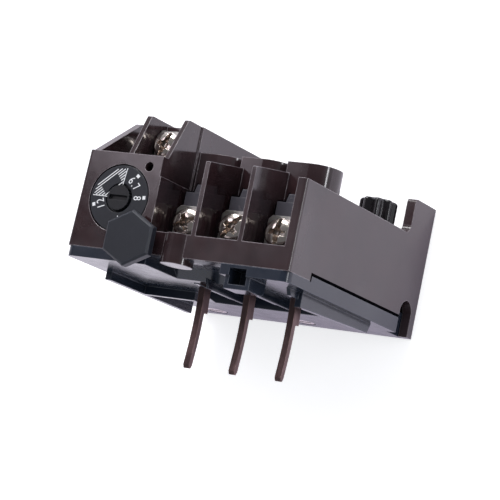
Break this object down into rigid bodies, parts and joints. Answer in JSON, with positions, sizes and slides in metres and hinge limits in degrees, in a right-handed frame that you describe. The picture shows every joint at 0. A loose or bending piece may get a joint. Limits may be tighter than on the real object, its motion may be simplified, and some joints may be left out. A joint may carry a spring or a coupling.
{
  "type": "thermal overload relay",
  "caption": "Bimetal thermal overload relay that plugs into a contactor, with prongs, screw terminals in barrier bays, a turning current dial and a hexagonal reset button.",
  "frame": {"origin": "centre of the footprint on the flat back, which is the lowest plane", "axes": "+Z comes out of the dial face at the front, +X runs from the dial side to the plain side wall, +Y points from the contactor prongs to the auxiliary terminals"},
  "size_m": [0.0456, 0.043, 0.0528],
  "materials": {
    "housing_brown": "glossy dark brown phenolic moulding",
    "base_slate": "satin slate grey moulding",
    "dial_black": "matte near-black, white scale marks",
    "button_slate": "satin dark slate",
    "knob_black": "glossy black",
    "nickel_screw": "nickel-plated steel, yellowish",
    "nickel_plate": "nickel-plated brass",
    "copper_brown": "oxidised copper, dark brown",
    "bimetal": "rolled bimetal",
    "mica": "mica sleeve",
    "heater_wire": "resistance strip",
    "contact_copper": "spring copper alloy",
    "silver": "silver contact",
    "mechanism_cream": "natural engineering plastic",
    "steel": "bright steel",
    "spring_steel": "spring wire"
  },
  "bodies": {
    "housing": {"main_housing": "housing_brown", "base_cover": "base_slate", "terminal_blocks": "base_slate", "terminal_plates": "nickel_plate", "bimetal_strips": "bimetal", "mica_sleeves": "mica", "heater_windings": "heater_wire", "contactor_prong_1": "copper_brown", "contactor_prong_2": "copper_brown", "contactor_prong_3": "copper_brown", "aux_plate_1": "nickel_plate", "aux_plate_2": "nickel_plate", "nc_contact": "contact_copper", "no_contact": "contact_copper", "fixed_pads": "silver", "mechanism_frame": "mechanism_cream", "pivot_pins": "steel", "reset_spring": "spring_steel", "cover_screws": "steel"},
    "dial": {"current_dial": "dial_black", "dial_hub": "dial_black", "dial_cam": "mechanism_cream"},
    "adjuster": {"adjust_lever": "mechanism_cream", "compensation_strip": "bimetal"},
    "reset": {"reset_button": "button_slate"},
    "slider": {"trip_slider": "mechanism_cream"},
    "trip": {"trip_lever": "mechanism_cream"},
    "contact": {"contact_arm": "contact_copper", "moving_pads": "silver"},
    "mode_knob": {"reset_mode_knob": "knob_black", "mode_cam": "mechanism_cream"},
    "clamp_1": {"clamp_washer_1": "nickel_plate"},
    "screw_1": {"terminal_screw_1": "nickel_screw"},
    "clamp_2": {"clamp_washer_2": "nickel_plate"},
    "screw_2": {"terminal_screw_2": "nickel_screw"},
    "clamp_3": {"clamp_washer_3": "nickel_plate"},
    "screw_3": {"terminal_screw_3": "nickel_screw"},
    "aux_clamp_1": {"aux_washer_1": "nickel_plate"},
    "aux_screw_1": {"aux_screw_1": "nickel_screw"},
    "aux_clamp_2": {"aux_washer_2": "nickel_plate"},
    "aux_screw_2": {"aux_screw_2": "nickel_screw"}
  },
  "joints": [
    {"name": "dial_turn", "type": "hinge", "parent": "housing", "child": "dial", "pos_m": [-0.01408, 0.00505, 0.0496], "axis": [0, 0, 1], "range_deg": [0, 240]},
    {"name": "adjuster_swing", "type": "hinge", "parent": "housing", "child": "adjuster", "pos_m": [-0.0186, 0.00017, 0.0376], "axis": [0, 0, 1], "range_deg": [0, 5.9]},
    {"name": "reset_press", "type": "slide", "parent": "housing", "child": "reset", "axis": [0, 0, -1], "range_m": [0, 0.0012], "stiffness_N_per_m": 800, "springref_m": -0.0015, "deforming": ["reset_spring"]},
    {"name": "slider_slide", "type": "slide", "parent": "housing", "child": "slider", "axis": [-1, 0, 0], "range_m": [0, 0.0012]},
    {"name": "trip_swing", "type": "hinge", "parent": "housing", "child": "trip", "pos_m": [-0.0136, 0.00668, 0.0277], "axis": [0, 0, 1], "range_deg": [0, 11.5]},
    {"name": "contact_swing", "type": "hinge", "parent": "housing", "child": "contact", "pos_m": [-0.0142, -0.00133, 0.0216], "axis": [0, 0, 1], "range_deg": [-10.1, 0]},
    {"name": "mode_knob_turn", "type": "hinge", "parent": "housing", "child": "mode_knob", "pos_m": [0.0158, 0.01117, 0.0096], "axis": [0, 1, 0], "range_deg": [0, 90]},
    {"name": "clamp_slide_1", "type": "slide", "parent": "housing", "child": "clamp_1", "axis": [0, 0, 1], "range_m": [0, 0.0018]},
    {"name": "screw_turn_1", "type": "hinge", "parent": "clamp_1", "child": "screw_1", "pos_m": [-0.00205, 0.00272, 0.0446], "axis": [0, 0, 1], "range_deg": [0, 1080]},
    {"name": "clamp_slide_2", "type": "slide", "parent": "housing", "child": "clamp_2", "axis": [0, 0, 1], "range_m": [0, 0.0018]},
    {"name": "screw_turn_2", "type": "hinge", "parent": "clamp_2", "child": "screw_2", "pos_m": [0.00735, 0.00272, 0.0446], "axis": [0, 0, 1], "range_deg": [0, 1080]},
    {"name": "clamp_slide_3", "type": "slide", "parent": "housing", "child": "clamp_3", "axis": [0, 0, 1], "range_m": [0, 0.0018]},
    {"name": "screw_turn_3", "type": "hinge", "parent": "clamp_3", "child": "screw_3", "pos_m": [0.01675, 0.00272, 0.0446], "axis": [0, 0, 1], "range_deg": [0, 1080]},
    {"name": "aux_clamp_slide_1", "type": "slide", "parent": "housing", "child": "aux_clamp_1", "axis": [0, 0, 1], "range_m": [0, 0.0015]},
    {"name": "aux_screw_turn_1", "type": "hinge", "parent": "aux_clamp_1", "child": "aux_screw_1", "pos_m": [-0.0179, 0.01657, 0.0363], "axis": [0, 0, 1], "range_deg": [0, 1080]},
    {"name": "aux_clamp_slide_2", "type": "slide", "parent": "housing", "child": "aux_clamp_2", "axis": [0, 0, 1], "range_m": [0, 0.0015]},
    {"name": "aux_screw_turn_2", "type": "hinge", "parent": "aux_clamp_2", "child": "aux_screw_2", "pos_m": [-0.0107, 0.01657, 0.0433], "axis": [0, 0, 1], "range_deg": [0, 1080]}
  ],
  "couplings": [
    {"joint": "adjuster_swing", "follows": "dial_turn", "ratio": 0.0245},
    {"joint": "trip_swing", "follows": "slider_slide", "rad_per_m": 166.6},
    {"joint": "contact_swing", "follows": "slider_slide", "rad_per_m": -145.4},
    {"joint": "screw_turn_1", "follows": "clamp_slide_1", "rad_per_m": 10472},
    {"joint": "screw_turn_2", "follows": "clamp_slide_2", "rad_per_m": 10472},
    {"joint": "screw_turn_3", "follows": "clamp_slide_3", "rad_per_m": 10472},
    {"joint": "aux_screw_turn_1", "follows": "aux_clamp_slide_1", "rad_per_m": 12566},
    {"joint": "aux_screw_turn_2", "follows": "aux_clamp_slide_2", "rad_per_m": 12566}
  ]
}
